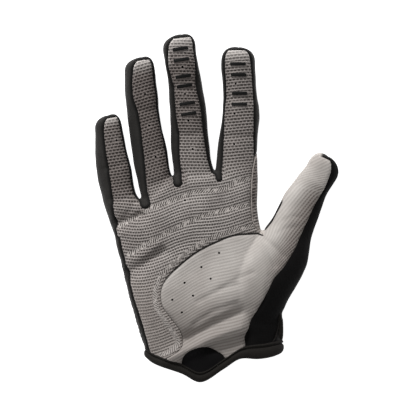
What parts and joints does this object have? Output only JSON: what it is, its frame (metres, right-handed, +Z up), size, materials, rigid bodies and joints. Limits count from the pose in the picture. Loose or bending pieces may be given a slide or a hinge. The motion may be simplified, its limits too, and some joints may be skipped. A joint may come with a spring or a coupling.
{
  "type": "full-finger cycling glove",
  "caption": "Hollow right-hand full-finger glove, palm up: dimpled grey palm overlay, pale thumb panel, black side strips, wrist binding and raised grip bars.",
  "frame": {"origin": "middle of the bounding box in plan, on the surface the glove lies on", "axes": "+X to the thumb side, +Y to the fingertips, +Z up out of the palm"},
  "size_m": [0.1522, 0.2148, 0.0298],
  "materials": {
    "palm_overlay": "dimpled synthetic leather, matte",
    "thumb_leather": "pale synthetic suede with fine ribs, matte",
    "stretch_insert": "black stretch knit",
    "back_fabric": "black knit, matte",
    "side_fabric": "dark knit with a fine weave",
    "binding": "ribbed elastic tape",
    "grip_rubber": "matte printed rubber"
  },
  "bodies": {
    "root": {"palm_panel": "palm_overlay", "thenar_panel": "thumb_leather", "index_gusset": "thumb_leather", "wrist_insert": "stretch_insert", "back_panel": "back_fabric", "cuff_binding": "binding", "ulnar_side": "side_fabric", "little_ring_fourchette": "side_fabric", "ring_middle_fourchette": "side_fabric", "middle_index_fourchette": "side_fabric", "index_side": "side_fabric", "thumb_inner_side": "side_fabric", "thumb_outer_side": "side_fabric", "middle_bar_1": "grip_rubber", "middle_bar_2": "grip_rubber", "middle_bar_3": "grip_rubber", "middle_bar_4": "grip_rubber", "middle_bar_5": "grip_rubber", "middle_bar_6": "grip_rubber", "index_bar_1": "grip_rubber", "index_bar_2": "grip_rubber", "index_bar_3": "grip_rubber", "index_bar_4": "grip_rubber"}
  },
  "joints": []
}
